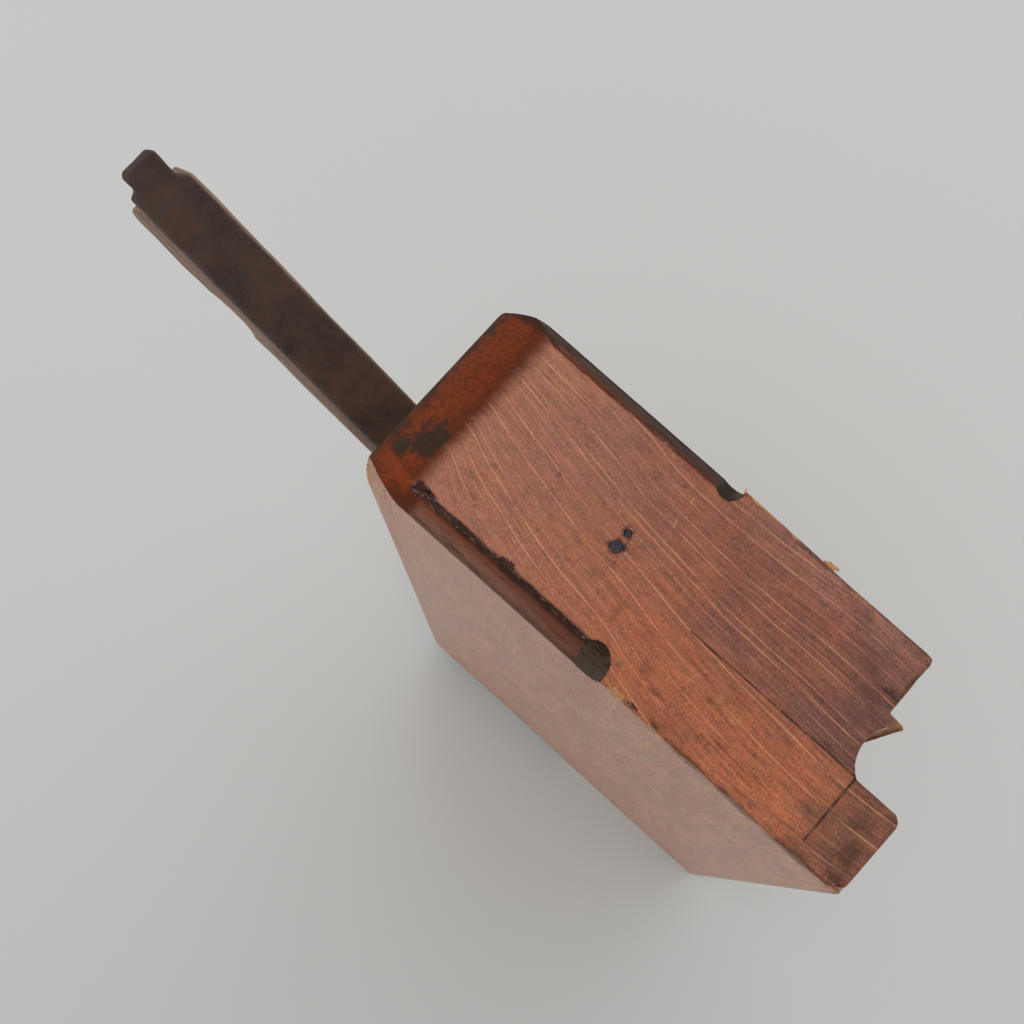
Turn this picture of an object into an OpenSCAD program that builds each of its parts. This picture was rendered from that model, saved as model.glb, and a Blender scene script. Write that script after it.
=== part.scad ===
// Wooden moulding plane of the side bead kind, standing on its toe.
//
// The frame: Z runs from the toe up to the heel, X runs from the sole to the top
// of the stock, and Y points to the plane's left side, where the fence is. The
// origin is the middle of the toe end. The iron lies on a bed in the stock and the
// wedge holds it there. Heights are measured from the bottom of the fence and
// side distances from the left side, as on the bench.

/* [Stock] */
// Length from toe to heel
body_l = 241; // [220:1:260]
// Height from the bottom of the fence to the top
body_h = 87; // [84:0.5:95]
// Thickness from the left side to the right side
body_w = 32.6; // [31:0.1:40]
// Rounding along the two top edges
top_round = 3; // [1:0.1:5]

/* [Sole profile] */
// Width of the fence that hangs below the sole
fence_w = 13.2; // [12.6:0.1:14.5]
// Height of the fence's guiding wall
fence_wall_h = 8; // [6.5:0.1:9]
// Rounding of the fence's inner corner
fence_round = 1.3; // [0.5:0.1:2]
// Worn corner on the fence's outer side
fence_ease = 0.4; // [0.2:0.1:1]
// Radius of the hollow that cuts the bead
bead_r = 5.6; // [5.3:0.1:6.5]
// Distance from the fence wall to the deepest line of the hollow
bead_offset = 4.65; // [4.3:0.05:5]
// Width of the bead from the fence wall to the tip of the quirk
bead_w = 9.6; // [9:0.1:9.9]
// Height of the flat land beside the quirk
land_h = 10.5; // [9.5:0.1:12]
// Rounding of the land's outer corner
land_round = 0.8; // [0.3:0.1:1.5]

/* [End chamfers] */
// Drop of the top chamfer on the end face
top_chamfer_drop = 9.9; // [6:0.1:12]
// Run of the top chamfer along the length
top_chamfer_run = 8; // [5:0.1:10]
// How far the top chamfer bulges from flat
top_chamfer_bulge = 0.9; // [0.3:0.1:1.5]
// Left chamfer's width on the end face
left_chamfer_face = 3.3; // [2:0.1:4]
// Left chamfer's run along the length
left_chamfer_run = 4.5; // [2:0.1:5]
// Right chamfer's width on the end face
right_chamfer_face = 2.2; // [1.5:0.1:4]
// Right chamfer's run along the length
right_chamfer_run = 3.3; // [2:0.1:5]
// Height at which the left chamfer stops in its gouge cut
left_stop_h = 44.7; // [38:0.1:52]
// Height at which the right chamfer stops in its gouge cut
right_stop_h = 46.2; // [38:0.1:52]

/* [Bed and mouth] */
// Angle of the bed from the sole
bed_angle = 55; // [52:0.5:58]
// Where the bed meets the level of the fence's bottom, from the toe
bed_from_toe = 81.5; // [75:0.5:95]
// Free gap in front of the iron at the mouth, across the iron
mouth_gap = 1.1; // [0.8:0.1:2]
// Left wall of the mortise and of the mouth, from the left side
mortise_left = 11.9; // [11.5:0.1:12.5]
// Width of the mortise for tang and wedge
mortise_w = 11.6; // [11.2:0.1:12]

/* [Escapement] */
// Distance up the bed to the middle of the round eye
eye_along = 36; // [34:0.5:38]
// Distance of the eye's middle from the bed
eye_off = 10; // [9:0.5:11]
// Radius of the eye at the right side
eye_r_out = 17; // [16:0.5:18]
// Radius of the eye at its inner wall
eye_r_in = 11; // [10:0.5:12]

/* [Iron] */
// Thickness of the iron
iron_t = 3; // [2.5:0.1:3.5]
// Length of the iron from the bottom level of the fence to its head
iron_top = 191; // [170:1:196]
// Width of the blade
blade_w = 13.4; // [12.8:0.1:14]
// Height along the iron of the blade's shoulder
blade_shoulder = 38; // [30:1:39]
// Length of the slope from the blade up to the tang
shoulder_l = 5; // [3:0.5:6]
// Width of the tang above the shoulder
tang_w_low = 11.1; // [10.5:0.1:11.1]
// Width of the tang below its head
tang_w_high = 9.9; // [9:0.1:10.4]
// Width of the head
head_w = 7; // [5:0.1:8]
// Length of the head down the iron
head_l = 7.8; // [5:0.1:10]
// How much higher the head's left shoulder sits than its right one
head_step = 3.5; // [0:0.5:4]
// Hammered corners of the head, and the slope of its shoulders
head_ease = 0.8; // [0.4:0.1:1.2]
// Angle of the sharpening bevel
bevel_angle = 35; // [30:1:38]
// How far the edge stands below the sole
iron_set = 0.3; // [0:0.05:0.6]
// How far the iron is ground back on either side of the bead
iron_relief = 1; // [0.5:0.1:2]

/* [Wedge] */
// Taper between the wedge's two faces
wedge_taper = 7.5; // [7:0.25:7.75]
// Thickness of the wedge where its head begins
wedge_t = 15.5; // [14.8:0.1:17]
// Distance up the bed at which the wedge's head begins
wedge_head_at = 149; // [146:1:151]
// Distance up the bed of the wedge's top
wedge_top = 182.5; // [174:0.5:186]
// Distance up the bed of the wedge's tip
wedge_tip = 40; // [40:1:48]
// Radius of the notch below the wedge's head
notch_r = 6; // [4:0.5:7]
// Depth of that notch
notch_depth = 4.5; // [3:0.5:6]
// Rounding of the wedge's top
wedge_round = 6; // [3:0.5:8]

/* [Boxwood slip] */
// Left face of the slip, from the left side
slip_left = 21.3; // [20.5:0.1:21.8]
// Thickness of the slip
slip_w = 3.2; // [2.8:0.1:3.8]
// Height that the slip reaches
slip_top_h = 17; // [14:0.5:19]

/* [Brads] */
// Diameter of the larger brad
brad_d_large = 1.6; // [1.2:0.1:2]
// Diameter of the smaller brad
brad_d_small = 0.9; // [0.7:0.1:1.1]
// Depth of the larger brad
brad_l_large = 12; // [6:1:16]
// Depth of the smaller brad
brad_l_small = 8; // [5:1:12]
// Height of the brads
brad_h = 52.3; // [48:0.1:58]
// Distance of the larger brad from the left side
brad_from_left = 15.2; // [12:0.1:16]
// Spacing of the two brads
brad_gap = 2.4; // [2:0.1:5]

/* [Clearances] */
// Gap between the iron and the bed, and between the iron and the wedge
slide_gap = 0.06; // [0.02:0.01:0.1]
// Gap between the wedge's front and the mortise
wedge_gap = 0.1; // [0.05:0.01:0.2]
// Gap beside the tang, the blade and the wedge in the mortise
side_gap = 0.3; // [0.2:0.05:0.5]
// Gap around a brad in its hole
brad_fit = 0.03; // [0.01:0.01:0.05]

/* [Hidden] */
// Amount by which every cut runs past the wood
past = 1;
// Steps in a drawn arc
arc_steps = 10;
// Height of the hollow's centre, and side distances of its deepest line and of the quirk
bead_centre_h = fence_wall_h - sqrt(bead_r * bead_r - bead_offset * bead_offset);
bead_from_left = fence_w + bead_offset;
quirk_from_left = fence_w + bead_w;
// Directions of the bed
bed_sin = sin(bed_angle);
bed_cos = cos(bed_angle);
bed_top = body_h / bed_sin;
// Front face of the iron, and of the wedge's back, measured out from the bed
iron_face = slide_gap + iron_t;
wedge_back = iron_face + slide_gap;
mouth_t = iron_face + mouth_gap;
// Left edge of the blade and of the tang, from the left side
blade_left = mortise_left + side_gap;

// Place a height or a side distance in the frame
function at_h(h) = h - body_h / 2;
function at_s(s) = body_w / 2 - s;

// Points of an arc round c from angle a0 to angle a1
function arc(c, r, a0, a1, n = arc_steps) =
    [for (i = [0:n]) let (a = a0 + (a1 - a0) * i / n) c + r * [cos(a), sin(a)]];

// Height of the sole above the fence's bottom at a distance s across the bead
function hollow_h(s) = bead_centre_h
    + sqrt(bead_r * bead_r - (s - bead_from_left) * (s - bead_from_left));

// The hollow's points as side distance and height, from one side distance to another
function hollow(s0, s1, n = 14) =
    [for (i = [0:n]) let (s = s0 + (s1 - s0) * i / n) [s, hollow_h(s)]];

// Thickness of the wedge at a distance up the bed
function wedge_at(a) = wedge_t - (wedge_head_at - a) * tan(wedge_taper);

// Draw in side distance and height, and stretch along the length
module along_length(z0, z1) {
    translate([-body_h / 2, body_w / 2, z0])
        rotate([0, 0, -90])
            linear_extrude(z1 - z0)
                children();
}

// Lay a shape on the bed: x runs up the bed, y to the left and z towards the heel
module on_bed() {
    translate([-body_h / 2, 0, bed_from_toe])
        rotate([0, bed_angle - 90, 0])
            children();
}

// Draw in distance up the bed and distance out from it, and stretch sideways
module across_bed(s0, s1) {
    on_bed()
        translate([0, at_s(s1), 0])
            rotate([-90, 0, 0])
                linear_extrude(s1 - s0)
                    children();
}

module section() {
    polygon(concat(
        arc([top_round, body_h - top_round], top_round, 180, 90),
        arc([body_w - top_round, body_h - top_round], top_round, 90, 0),
        arc([body_w - land_round, land_h + land_round], land_round, 0, -90, 4),
        [[quirk_from_left, land_h]],
        hollow(quirk_from_left, fence_w),
        arc([fence_w - fence_round, fence_round], fence_round, 0, -90, 5),
        [[fence_ease, 0], [0, fence_ease]]
    ));
}

// All that lies in front of the bed, or behind it, from a distance t out from the bed
module half_plane(way, t) {
    polygon([[-body_l, t], [body_l, t], [body_l, t + way * body_l], [-body_l, t + way * body_l]]);
}

// Side view of the mouth: a short parallel wear, then the breast up to the eye
module mouth_outline() {
    eye = [eye_along, eye_off];
    wear_top = [land_h / bed_sin, mouth_t];
    reach = norm(eye - wear_top);
    lean = atan2(eye[1] - wear_top[1], eye[0] - wear_top[0]) + asin(eye_r_in / reach);
    breast_l = sqrt(reach * reach - eye_r_in * eye_r_in);
    breast_top = wear_top + breast_l * [cos(lean), sin(lean)];
    polygon([
        [-mouth_t, 0], [eye_along, 0], eye, breast_top, wear_top, [-mouth_t, mouth_t]
    ]);
}

// Mouth, throat and round eye, open to the right side
module escapement() {
    right = body_w + past;
    across_bed(mortise_left, right)
        mouth_outline();
    intersection() {
        across_bed(mortise_left, right)
            half_plane(1, 0);
        on_bed()
            translate([eye_along, at_s(mortise_left), -eye_off])
                rotate([90, 0, 0])
                    cylinder(h = right - mortise_left, r1 = eye_r_in, r2 = eye_r_out, $fn = 96);
    }
}

// Slot for the tang and the wedge, open through the top
module mortise() {
    low = eye_along;
    high = bed_top + 20;
    across_bed(mortise_left, mortise_left + mortise_w)
        polygon([
            [low, 0], [high, 0],
            [high, wedge_back + wedge_at(high) + wedge_gap],
            [low, wedge_back + wedge_at(low) + wedge_gap]
        ]);
}

// Chamfer across the top of an end, bulging a little
module top_chamfer() {
    run = top_chamfer_run;
    drop = top_chamfer_drop;
    chord = sqrt(run * run + drop * drop);
    r = chord * chord / (8 * top_chamfer_bulge) + top_chamfer_bulge / 2;
    lean = atan2(drop, run);
    half = asin(chord / (2 * r));
    mid = [body_h / 2 - drop / 2, body_l - run / 2];
    c = mid - (r - top_chamfer_bulge) * [cos(lean), sin(lean)];
    rotate([90, 0, 0])
        translate([0, 0, -body_w])
            linear_extrude(2 * body_w)
                polygon(concat(
                    arc(c, r, lean + half, lean - half),
                    [[body_h / 2 + past, body_l - run - past], [body_h / 2 + past, body_l + past],
                     [body_h / 2 - drop - past, body_l + past]]
                ));
}

// Stopped chamfer up one corner of the heel, ending in a gouge cut
module end_chamfer(face, run, stop_h) {
    width = sqrt(face * face + run * run);
    lean = atan2(run, face);
    r = width / 2;
    depth = r / 4;
    translate([at_h(stop_h), body_w / 2 - face, body_l])
        rotate([-lean, 0, 0]) {
            translate([0, -width, 0])
                cube([body_h, 3 * width, 3 * width]);
            translate([0, -width, r - depth])
                rotate([-90, 0, 0])
                    cylinder(h = 3 * width, r = r, $fn = 48);
        }
}

module end_cuts() {
    top_chamfer();
    end_chamfer(left_chamfer_face, left_chamfer_run, left_stop_h);
    mirror([0, 1, 0])
        end_chamfer(right_chamfer_face, right_chamfer_run, right_stop_h);
}

module both_ends() {
    end_cuts();
    translate([0, 0, body_l])
        mirror([0, 0, 1])
            end_cuts();
}

// One brad hole or brad, drilled down from the heel
module brad_at(from_left, d, l) {
    translate([at_h(brad_h), at_s(from_left), body_l - l])
        cylinder(h = l, d = d, $fn = 32);
}

module brad_holes() {
    brad_at(brad_from_left, brad_d_large + 2 * brad_fit, brad_l_large);
    brad_at(brad_from_left + brad_gap, brad_d_small + 2 * brad_fit, brad_l_small);
}

module stock() {
    color("#8a4a2e")
        difference() {
            along_length(0, body_l)
                section();
            along_length(-past, body_l + past)
                translate([slip_left, 0])
                    square([slip_w, slip_top_h]);
            mortise();
            escapement();
            both_ends();
            translate([0, 0, past])
                brad_holes();
            brad_holes();
        }
}

// Boxwood slip that carries the sharp quirk, before the mouth is cut through it
module whole_slip() {
    along_length(0, body_l)
        polygon(concat(
            hollow(slip_left, quirk_from_left, 4),
            [[quirk_from_left, land_h], [slip_left + slip_w, land_h],
             [slip_left + slip_w, slip_top_h], [slip_left, slip_top_h]]
        ));
}

module slip_toe() {
    color("#c9954f")
        difference() {
            whole_slip();
            across_bed(0, body_w)
                union() {
                    mouth_outline();
                    half_plane(-1, mouth_gap);
                }
        }
}

module slip_heel() {
    color("#c9954f")
        difference() {
            whole_slip();
            across_bed(0, body_w)
                half_plane(1, 0);
        }
}

// Outline of the iron as distance up the bed and side distance
module iron_outline() {
    right = blade_left + blade_w;
    tang_right = blade_left + tang_w_low;
    top_right = blade_left + tang_w_high;
    head_left = blade_left + (tang_w_high - head_w) / 2;
    head_right = head_left + head_w;
    neck = iron_top - head_l;
    left_neck = neck + head_step;
    polygon([
        [0, blade_left], [left_neck, blade_left], [left_neck + head_ease, head_left],
        [iron_top - head_ease, head_left], [iron_top, head_left + head_ease],
        [iron_top, head_right - head_ease], [iron_top - head_ease, head_right],
        [neck + 2 * head_ease, head_right], [neck, top_right],
        [blade_shoulder + shoulder_l, tang_right], [blade_shoulder, right], [0, right]
    ]);
}

// Cutting edge as place on the iron's face and side distance
function edge_along(h) = (h - iron_set - iron_face * bed_cos) / bed_sin;

module sharpening() {
    right = blade_left + blade_w;
    lift = sin(bevel_angle);
    edge = concat(
        [[fence_wall_h + iron_relief, blade_left - past], [fence_wall_h + iron_relief, fence_w]],
        [for (p = hollow(fence_w, quirk_from_left)) [p[1], p[0]]],
        [[land_h + iron_relief, quirk_from_left], [land_h + iron_relief, right + past]]
    );
    points = concat(
        [for (p = edge) [edge_along(p[0]) * lift, at_s(p[1])]],
        [[-body_h, at_s(right + past)], [-body_h, at_s(blade_left - past)]]
    );
    translate([0, 0, -iron_face])
        rotate([0, 90 - bevel_angle, 0])
            translate([0, 0, -body_h / 2])
                linear_extrude(body_h)
                    polygon(points);
}

module iron() {
    color("#4a4038")
        on_bed()
            difference() {
                translate([0, body_w / 2, -iron_face])
                    mirror([0, 1, 0])
                        linear_extrude(iron_t)
                            iron_outline();
                sharpening();
            }
}

// Side view of the wedge as distance up the bed and distance out from it
module wedge_outline() {
    back = wedge_back;
    front_low = back + wedge_at(wedge_tip);
    front_high = back + wedge_t;
    notch_half = sqrt(notch_r * notch_r - (notch_r - notch_depth) * (notch_r - notch_depth));
    notch_angle = asin(notch_half / notch_r);
    polygon(concat(
        [[wedge_tip, back]],
        [[wedge_top - 1, back], [wedge_top, back + 1]],
        arc([wedge_top - wedge_round, front_high - wedge_round], wedge_round, 0, 90),
        arc([wedge_head_at + notch_half, front_high + notch_r - notch_depth], notch_r,
            270 + notch_angle, 270 - notch_angle),
        [[wedge_tip, front_low]]
    ));
}

module wedge() {
    color("#a98a63")
        across_bed(mortise_left + side_gap, mortise_left + mortise_w - side_gap)
            wedge_outline();
}

module brad_large() {
    color("#3a3d42")
        brad_at(brad_from_left, brad_d_large, brad_l_large);
}

module brad_small() {
    color("#3a3d42")
        brad_at(brad_from_left + brad_gap, brad_d_small, brad_l_small);
}

stock();
iron();
wedge();
slip_toe();
slip_heel();
brad_large();
brad_small();
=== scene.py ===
# %% [markdown]
# # A wooden moulding plane
#
# A side bead plane is a block of beech, an iron and a wedge. It stands on its toe here, seen
# from above its heel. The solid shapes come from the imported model. What is added is what a century
# of use put there: eased edges, chips, dirt in the end grain, polish where hands hold it, and rust.

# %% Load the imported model
import math

import bmesh
import bpy
from mathutils import Euler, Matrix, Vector, noise

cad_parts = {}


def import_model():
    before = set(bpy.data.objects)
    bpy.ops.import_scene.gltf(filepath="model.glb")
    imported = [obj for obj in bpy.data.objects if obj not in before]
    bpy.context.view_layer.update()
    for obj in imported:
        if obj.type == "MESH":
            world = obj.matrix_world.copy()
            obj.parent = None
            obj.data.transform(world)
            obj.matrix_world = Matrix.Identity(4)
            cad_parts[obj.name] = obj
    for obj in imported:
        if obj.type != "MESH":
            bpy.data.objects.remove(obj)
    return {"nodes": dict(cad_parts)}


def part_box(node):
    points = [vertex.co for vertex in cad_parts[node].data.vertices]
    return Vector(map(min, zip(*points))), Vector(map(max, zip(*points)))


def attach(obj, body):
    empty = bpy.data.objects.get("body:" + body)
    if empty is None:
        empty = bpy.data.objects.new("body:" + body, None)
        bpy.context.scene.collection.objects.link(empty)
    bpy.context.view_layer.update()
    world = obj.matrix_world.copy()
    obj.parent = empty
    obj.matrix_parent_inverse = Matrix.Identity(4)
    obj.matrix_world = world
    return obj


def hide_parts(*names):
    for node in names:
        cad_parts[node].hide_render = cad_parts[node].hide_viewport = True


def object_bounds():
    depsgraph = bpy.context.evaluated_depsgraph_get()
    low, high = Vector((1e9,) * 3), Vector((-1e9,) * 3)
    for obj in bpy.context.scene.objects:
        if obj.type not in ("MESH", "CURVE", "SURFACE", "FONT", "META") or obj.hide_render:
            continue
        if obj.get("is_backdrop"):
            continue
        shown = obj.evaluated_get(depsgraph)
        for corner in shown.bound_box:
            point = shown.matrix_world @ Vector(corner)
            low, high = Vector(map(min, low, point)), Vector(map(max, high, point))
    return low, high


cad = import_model()["nodes"]
cad_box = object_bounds()
MM = 0.001
print("pieces in the model:", ", ".join(sorted(cad)))

# %% [markdown]
# A plane maker measures height from the bottom of the fence and sideways from the left side.
# The frame has its origin in the middle of the toe, so one small helper turns bench measures
# into the frame's metres.

# %% Bench measures
stock_low, stock_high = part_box("stock")
fence_bottom = stock_low.x / MM
left_side = stock_high.y / MM
heel_z = stock_high.z / MM
body_h = (stock_high.x - stock_low.x) / MM
body_w = (stock_high.y - stock_low.y) / MM
# The sole: the slip's groove, the tip of the quirk, and the height that the profile stays under
groove_left, groove_right, groove_top = 21.3, 24.5, 17.0
quirk_tip = 22.95
profile_top = 10.7


def place(across, height, up=heel_z):
    """Point in the frame from millimetres across from the left side, and height over the fence."""
    return Vector((fence_bottom + height, left_side - across, up)) * MM


print(f"stock {body_w:.1f} wide, {body_h:.1f} high, {heel_z:.1f} long")

# %% [markdown]
# ## The camera
#
# The photograph looks down on the heel from about 27 cm above it, with a lens of 72 mm on a
# 36 mm sensor. The place and the turn were worked out from the corners of the heel and of the
# toe. Vertical edges run together fast at this distance, and that is most of the picture's
# character, so the distance has to be right before anything else.

# %% Camera
camera_place = Vector((-9.05, 39.34, 515.48)) * MM
camera_turn = (9.32, 0.348, -137.91)


def add_object(name, data):
    made = bpy.data.objects.new(name, data)
    bpy.context.scene.collection.objects.link(made)
    return made


camera_data = bpy.data.cameras.new("camera")
camera_data.lens = 72.47
camera_data.sensor_width = 36
camera_data.clip_start = 0.01
camera = add_object("camera", camera_data)
camera.location = camera_place
camera.rotation_euler = Euler([math.radians(a) for a in camera_turn])
bpy.context.scene.camera = camera
print("camera is", round((camera_place.z - heel_z * MM) * 1000), "mm above the heel")

# %% [markdown]
# ## Helpers for materials
#
# A material is a small graph of nodes, and one line for each node makes it hard to read. A Graph
# gives one short call for each kind of step: mixing, noise, a soft step. It returns Values, which
# are added and multiplied like numbers, and it takes Values and numbers alike.

# %% Short calls for shader graphs
class Value:
    """A node's output. Sums, differences and products of values make the nodes for them."""

    def __init__(self, graph, socket):
        self.graph, self.socket = graph, socket

    def __add__(self, other):
        return self.graph.math("ADD", self, other)

    def __sub__(self, other):
        return self.graph.math("SUBTRACT", self, other)

    def __rsub__(self, other):
        return self.graph.math("SUBTRACT", other, self)

    def __mul__(self, other):
        return self.graph.math("MULTIPLY", self, other)

    def __truediv__(self, other):
        return self.graph.math("DIVIDE", self, other)

    def __rtruediv__(self, other):
        return self.graph.math("DIVIDE", other, self)

    def __abs__(self):
        return self.graph.math("ABSOLUTE", self)

    __radd__, __rmul__ = __add__, __mul__


class Graph:
    """Builds nodes in one tree."""

    def __init__(self, tree):
        self.tree = tree

    def node(self, kind, values=None, **settings):
        made = self.tree.nodes.new(kind)
        for name, value in settings.items():
            setattr(made, name, value)
        for key, value in (values or {}).items():
            self.feed(made.inputs[key], value)
        return made

    def value(self, output, kind, values=None, **settings):
        """A new node's output, by its number or name."""
        return Value(self, self.node(kind, values, **settings).outputs[output])

    def feed(self, socket, value):
        if isinstance(value, Value):
            self.tree.links.new(value.socket, socket)
        elif hasattr(value, "__len__") and socket.type == "RGBA" and len(value) == 3:
            socket.default_value = (*value, 1)
        else:
            socket.default_value = value

    def named(self, outputs):
        return {output.name: Value(self, output) for output in outputs}

    def math(self, operation, a, b=0.0):
        return self.value(0, "ShaderNodeMath", {0: a, 1: b}, operation=operation)

    def most(self, a, b):
        return self.math("MAXIMUM", a, b)

    def least(self, a, b):
        return self.math("MINIMUM", a, b)

    def length(self, a, b):
        """Length of a way that goes a to one side and b to the other."""
        return self.math("SQRT", a * a + b * b)

    def step(self, value, low, high, to_low=0.0, to_high=1.0):
        """Soft step: to_low where value is under low, to_high where it is over high."""
        values = {"Value": value, "From Min": low, "From Max": high}
        values.update({"To Min": to_low, "To Max": to_high})
        return self.value(0, "ShaderNodeMapRange", values, interpolation_type="SMOOTHSTEP")

    def mix(self, share, a, b, blend="MIX"):
        values = {0: share, 6: a, 7: b}
        return self.value(2, "ShaderNodeMix", values, data_type="RGBA", blend_type=blend)

    def over(self, color, *coats):
        """A colour with coats laid over it. Each coat is a share and a colour."""
        for share, coat in coats:
            color = self.mix(share, color, coat)
        return color

    def vector(self, x, y, z):
        return self.value(0, "ShaderNodeCombineXYZ", {0: x, 1: y, 2: z})

    def shade(self, color, by):
        return self.mix(1.0, color, self.vector(by, by, by), "MULTIPLY")

    def parts(self, vector):
        outputs = self.node("ShaderNodeSeparateXYZ", {0: vector}).outputs
        return [Value(self, output) for output in outputs]

    def along(self, a, b):
        """Dot product of two vectors."""
        return self.value("Value", "ShaderNodeVectorMath", {0: a, 1: b}, operation="DOT_PRODUCT")

    def noise(self, vector, scale, detail=2.0, roughness=0.5, output="Fac"):
        """Noise around 0.5. With three numbers for its scale it is stretched."""
        if isinstance(scale, tuple):
            values = {0: vector, 1: scale}
            vector = self.value(0, "ShaderNodeVectorMath", values, operation="MULTIPLY")
            scale = 1.0
        values = {"Vector": vector, "Scale": scale, "Detail": detail, "Roughness": roughness}
        return self.value(output, "ShaderNodeTexNoise", values)

    def group(self, name, where, **values):
        """The outputs of a node group. Underscores in its inputs' names stand for spaces."""
        tree = bpy.data.node_groups[name]
        values = {key.replace("_", " "): value for key, value in values.items()}
        made = self.node("ShaderNodeGroup", {"Place": where, **values}, node_tree=tree)
        return self.named(made.outputs)

    def give(self, **values):
        """Finish a group: make its outputs. Underscores in their names stand for spaces."""
        for name, value in values.items():
            kind = "NodeSocketColor" if value.socket.type == "RGBA" else "NodeSocketFloat"
            name = name.replace("_", " ")
            self.tree.interface.new_socket(name, in_out="OUTPUT", socket_type=kind)
        for socket, value in zip(self.node("NodeGroupOutput").inputs, values.values()):
            self.feed(socket, value)

    def curve(self, value, points, low, high, top):
        """A smooth curve through points of (value, result), for values from low to high.

        The results run from -top to top."""
        values = {"Value": value, "From Min": low, "From Max": high}
        share = self.value(0, "ShaderNodeMapRange", values)
        made = self.node("ShaderNodeFloatCurve", {"Value": share})
        line = made.mapping.curves[0]
        spots = [((x - low) / (high - low), 0.5 + y / (2 * top)) for x, y in points]
        line.points[0].location = spots[0]
        line.points[1].location = spots[-1]
        for spot in spots[1:-1]:
            line.points.new(*spot)
        made.mapping.update()
        return (Value(self, made.outputs[0]) - 0.5) * (2 * top)


print("graph helpers ready")

# %% [markdown]
# Patterns that several materials share are node groups. Each starts from a place in the frame,
# and half of them turn it into bench measures first.

# %% Helpers for node groups
def start_group(name, **inputs):
    """New node group that takes a Place and named numbers. Underscores stand for spaces."""
    tree = bpy.data.node_groups.new(name, "ShaderNodeTree")
    new_socket = tree.interface.new_socket
    new_socket("Place", in_out="INPUT", socket_type="NodeSocketVector")
    for key, value in inputs.items():
        made = new_socket(key.replace("_", " "), in_out="INPUT", socket_type="NodeSocketFloat")
        made.default_value = value
    g = Graph(tree)
    g.given = g.named(g.node("NodeGroupInput").outputs)
    return g, g.given["Place"]


def bench(g, point):
    """A point's millimetres across from the left side, over the fence and up from the toe."""
    x, y, z = (part * (1 / MM) for part in g.parts(point))
    return left_side - y, x - fence_bottom, z


print("group helpers ready")

# %% [markdown]
# ## Growth rings
#
# The rings are the strongest pattern on the heel: thin pale lines where one summer's wood meets
# the next spring's. They are sheets that run through the whole block, so the pattern is built as
# a solid one. A point's place across the block is first unbent, so that every ring becomes a
# flat sheet at one distance. The bend has two parts: a lean that is strong at the left side and
# gone at the right, and a shift that all rings share. Both change with height. Away from the
# heel the grain drifts a little, as it does in a real billet.

# %% Node group: growth rings
ring_lean = [(0, -0.3), (10, -0.4), (20, 0), (30, 2.3), (40, 5.2), (50, 7.8), (60, 8.1), (70, 9.9),
             (80, 14.0), (90, 16.9)]
ring_shift = [(0, 0.3), (10, -0.2), (20, 0), (30, -0.8), (40, -1.6), (50, -1.7), (60, -0.3),
              (70, 0.6), (80, 0.1), (90, -2.0)]
lean_width = 33.0
# Where each ring line stands at 20 mm height, and how strongly it shows
ring_lines = [(-9.4, 0.45), (-7.6, 0.3), (-5.8, 0.9), (-3.7, 0.35), (-2.0, 0.8), (1.0, 1.0),
              (2.8, 0.45), (4.9, 0.4), (8.05, 1.0), (11.9, 0.9), (14.1, 0.25), (15.6, 0.5),
              (17.3, 0.85), (18.45, 0.75), (21.5, 1.0), (22.4, 0.35), (24.1, 0.8), (26.7, 0.4),
              (29.1, 0.8), (31.8, 0.85), (34.6, 0.5)]

g, where = start_group("growth_rings", Line_Width=0.115)
across, height, up = bench(g, where)
below = heel_z - up
lean = g.curve(height, ring_lean, 0, 90, 18)
shift = g.curve(height, ring_shift, 0, 90, 4)
drift_noise = g.noise(where, (12, 12, 9), 2)
drift = (drift_noise - 0.5) * g.step(below, 0, 30, 0, 7)
drift += below * 0.018
wobble = g.noise(where, (110, 260, 12), 2)
wobble = (wobble - 0.5) * 0.36
moved = across - shift - lean + (drift + wobble)
squeeze = 1 - lean * (1 / lean_width)
flat_across = moved / squeeze
line = 0.0
fade = g.noise(where, (120, 300, 14), 3)
width = g.given["Line Width"] * g.step(fade, 0.3, 0.7, 0.65, 1.5)
for ring, strength in ring_lines:
    off = abs(flat_across - ring) * squeeze
    line = g.most(line, g.step(off, width, 0.02, 0, strength))
line *= g.step(fade, 0.34, 0.62, 0.3, 1.0)
with_rings = g.vector(flat_across * 2.4, height * 0.13, below * 0.06)
streaks = g.noise(with_rings, 1.0, 4, 0.7)
band = g.noise(g.vector(flat_across * 0.55, 3.3, 0), 1.0, 2, 0.6)
g.give(Line=line, Streaks=streaks, Band=band)
print("growth rings:", len(ring_lines), "lines")

# %% [markdown]
# ## Beech grain
#
# Beech shows three things up close. Pores are long tubes: dots on the end grain, hair lines
# along the sides. Rays are thin sheets that stand across the rings: short dashes on the end
# grain, small dark lenses on the flat sides, wider flecks on the edges. Colour also wanders over
# centimetres. One noise for each, stretched as the real thing is, gives the right look on every
# face.

# %% Node group: beech grain
g, where = start_group("beech_grain")
pores = g.noise(where, (3300, 3700, 120), 3, 0.68)
rays = g.noise(where, (4200, 900, 420), 2, 0.6)
cloud = g.noise(where, (210, 260, 50), 5, 0.62)
flecks = g.noise(where, (2300, 330, 330), 1, 0.5)
tint = g.noise(where, (950, 1250, 80), 4, 0.66, "Color")
g.give(Pores=pores, Rays=rays, Cloud=cloud, Flecks=g.step(flecks, 0.6, 0.72), Tint=tint)
print("beech grain ready")

# %% [markdown]
# ## Wear and dirt
#
# Corners are rubbed and knocked, so they are darker where hands polish them and paler where wood
# has broken away. A Bevel node compares the surface with one whose corners are rounded, and the
# difference marks the corners, however the mesh is cut. Noise breaks the mark up. Dirt gathers
# in blots of two sizes.

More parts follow.
